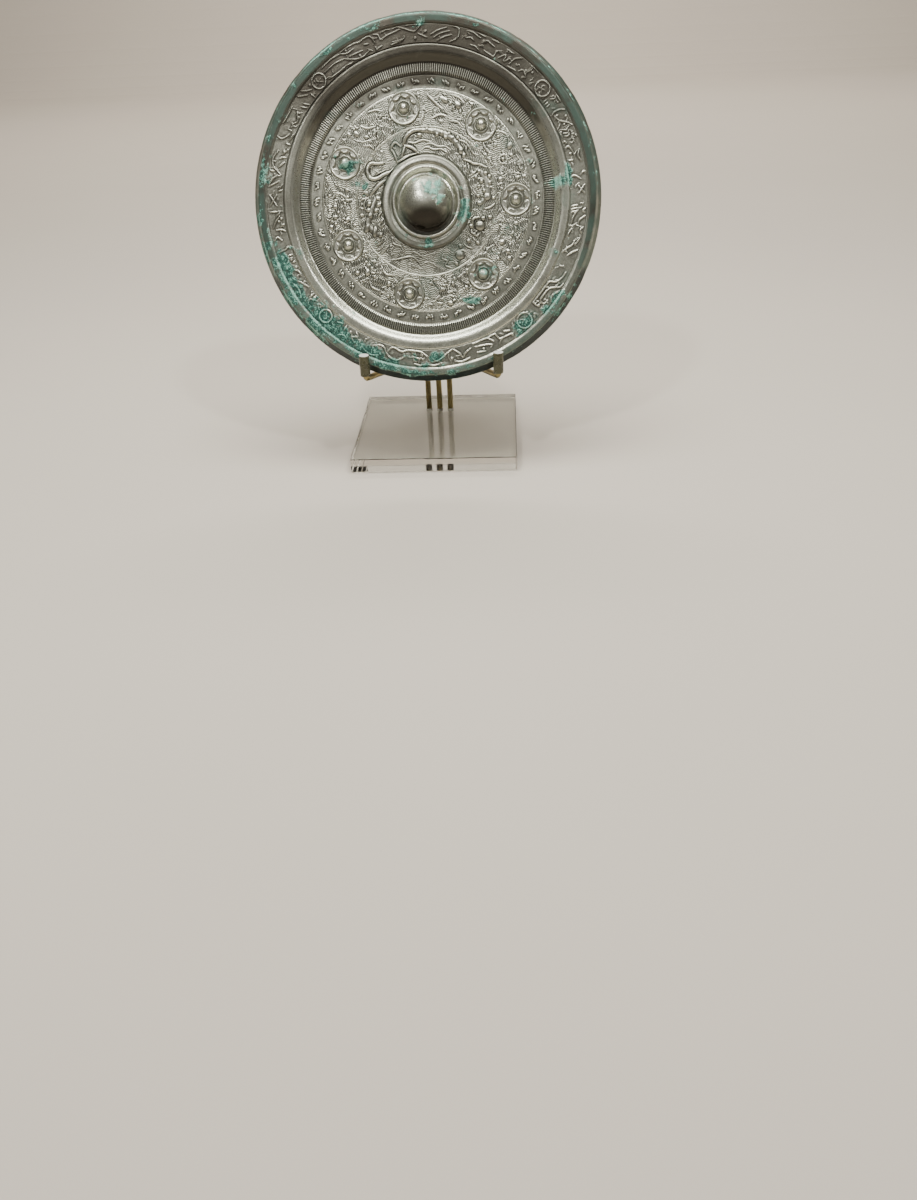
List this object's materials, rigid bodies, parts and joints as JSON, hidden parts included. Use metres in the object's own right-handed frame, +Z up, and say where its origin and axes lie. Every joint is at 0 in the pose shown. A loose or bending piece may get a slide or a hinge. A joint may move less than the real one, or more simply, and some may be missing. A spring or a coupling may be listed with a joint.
{
  "type": "bronze mirror on a display stand",
  "caption": "Round cast bronze mirror with a domed knob, ringed nipples and relief bands, leaning back on a display stand of bent brass rods and a clear square foot.",
  "frame": {"origin": "middle of the foot's underside", "axes": "+Z up, +X to the right as seen from the decorated side, which faces -Y and leans back towards +Y"},
  "size_m": [0.2146, 0.11, 0.2581],
  "materials": {
    "bronze": "silver-grey patinated bronze with green corrosion",
    "brass_rod": "satin",
    "sleeve_plastic": "clear flexible tube",
    "clear_acrylic": "polished clear"
  },
  "bodies": {
    "root": {"bronze_mirror": "bronze", "rod_left": "brass_rod", "rod_right": "brass_rod", "rod_back": "brass_rod", "sleeve_left": "sleeve_plastic", "sleeve_right": "sleeve_plastic", "foot_plate": "clear_acrylic"}
  },
  "joints": []
}
